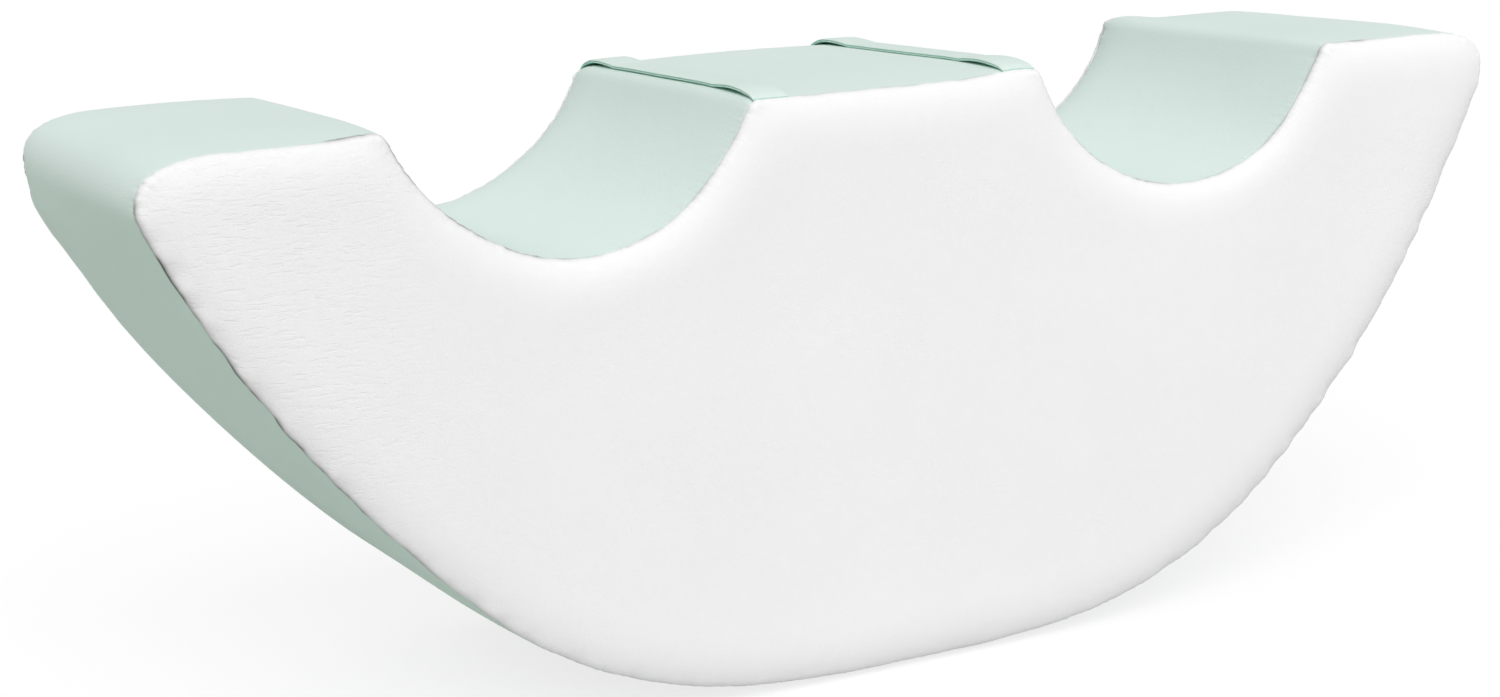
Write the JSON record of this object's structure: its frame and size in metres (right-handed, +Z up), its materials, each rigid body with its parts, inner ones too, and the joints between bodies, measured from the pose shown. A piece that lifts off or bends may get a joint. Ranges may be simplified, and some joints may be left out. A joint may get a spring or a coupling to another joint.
{
  "type": "foam rocker",
  "caption": "Banana-shaped foam rocker for children with a seat dip at each side of a raised hump, grab straps and a removable zipped cover.",
  "frame": {"origin": "centre of the flat stretch of the rocking base, on the floor under the middle of the block", "axes": "+X along the rocker from tip to tip, +Y through its width towards the zipped back, +Z up"},
  "size_m": [1.2076, 0.3413, 0.4747],
  "materials": {
    "white_leatherette": "satin",
    "mint_leatherette": "satin",
    "foam": "matte",
    "zip_nylon": "matte",
    "nickel": "polished"
  },
  "bodies": {
    "covered_block": {"foam_core": "foam", "side_panel_front": "white_leatherette", "side_panel_back_upper": "white_leatherette", "side_panel_back_lower": "white_leatherette", "rim_base_panel": "mint_leatherette", "rim_left_panel": "mint_leatherette", "rim_right_panel": "mint_leatherette", "rim_hump_panel": "mint_leatherette", "strap_left": "mint_leatherette", "strap_right": "mint_leatherette", "zip_tape_upper": "zip_nylon", "zip_tape_lower": "zip_nylon", "zip_coil_upper": "zip_nylon", "zip_coil_lower": "zip_nylon", "zip_bottom_stop": "nickel", "zip_top_stop_upper": "nickel", "zip_top_stop_lower": "nickel"},
    "slider": {"zip_slider": "nickel"},
    "pull": {"zip_pull": "nickel"}
  },
  "joints": [
    {"name": "zip_slide", "type": "slide", "parent": "covered_block", "child": "slider", "axis": [1, 0, 0], "range_m": [0, 0.823]},
    {"name": "pull_swing", "type": "hinge", "parent": "slider", "child": "pull", "pos_m": [-0.41175, 0.171, 0.275], "axis": [0, 0, 1], "range_deg": [0, 180]}
  ]
}
